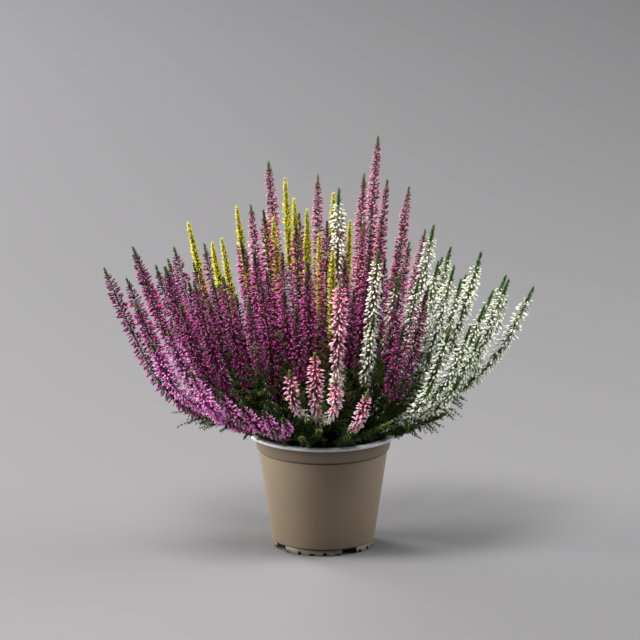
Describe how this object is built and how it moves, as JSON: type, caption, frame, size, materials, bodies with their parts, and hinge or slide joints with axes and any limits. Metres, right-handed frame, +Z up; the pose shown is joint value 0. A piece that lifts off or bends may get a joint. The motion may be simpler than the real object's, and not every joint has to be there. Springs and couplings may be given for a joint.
{
  "type": "potted heather",
  "caption": "Bushy mixed bud heather, violet, purple, pink, white and yellow-green, fanning out of a small taupe nursery pot.",
  "frame": {"origin": "on the pot's axis at floor level, the centre of the plant's footprint", "axes": "+Z up out of the pot; -Y towards the front of the plant; +X towards its white side"},
  "size_m": [0.3478, 0.2166, 0.337],
  "materials": {
    "pot_plastic": "satin",
    "soil": "matte",
    "violet_heather": "matte",
    "purple_heather": "matte",
    "pink_heather": "matte",
    "blush_heather": "matte",
    "white_heather": "matte",
    "yellow_heather": "matte",
    "heather_leaf": "matte"
  },
  "bodies": {
    "root": {"blush_spray_1": "blush_heather", "blush_spray_2": "blush_heather", "blush_spray_3": "blush_heather", "leafy_shoot_1": "heather_leaf", "leafy_shoot_2": "heather_leaf", "leafy_shoot_3": "heather_leaf", "leafy_shoot_4": "heather_leaf", "leafy_shoot_5": "heather_leaf", "leafy_shoot_6": "heather_leaf", "leafy_shoot_7": "heather_leaf", "leafy_shoot_8": "heather_leaf", "pink_spray_1": "pink_heather", "pink_spray_2": "pink_heather", "pink_spray_3": "pink_heather", "pink_spray_4": "pink_heather", "pink_spray_5": "pink_heather", "pink_spray_6": "pink_heather", "pink_spray_7": "pink_heather", "pot": "pot_plastic", "potting_soil": "soil", "purple_spray_1": "purple_heather", "purple_spray_10": "purple_heather", "purple_spray_2": "purple_heather", "purple_spray_3": "purple_heather", "purple_spray_4": "purple_heather", "purple_spray_5": "purple_heather", "purple_spray_6": "purple_heather", "purple_spray_7": "purple_heather", "purple_spray_8": "purple_heather", "purple_spray_9": "purple_heather", "violet_spray_1": "violet_heather", "violet_spray_10": "violet_heather", "violet_spray_2": "violet_heather", "violet_spray_3": "violet_heather", "violet_spray_4": "violet_heather", "violet_spray_5": "violet_heather", "violet_spray_6": "violet_heather", "violet_spray_7": "violet_heather", "violet_spray_8": "violet_heather", "violet_spray_9": "violet_heather", "white_spray_1": "white_heather", "white_spray_10": "white_heather", "white_spray_11": "white_heather", "white_spray_12": "white_heather", "white_spray_2": "white_heather", "white_spray_3": "white_heather", "white_spray_4": "white_heather", "white_spray_5": "white_heather", "white_spray_6": "white_heather", "white_spray_7": "white_heather", "white_spray_8": "white_heather", "white_spray_9": "white_heather", "yellow_spray_1": "yellow_heather", "yellow_spray_2": "yellow_heather", "yellow_spray_3": "yellow_heather", "yellow_spray_4": "yellow_heather", "yellow_spray_5": "yellow_heather", "yellow_spray_6": "yellow_heather", "yellow_spray_7": "yellow_heather", "yellow_spray_8": "yellow_heather"}
  },
  "joints": []
}
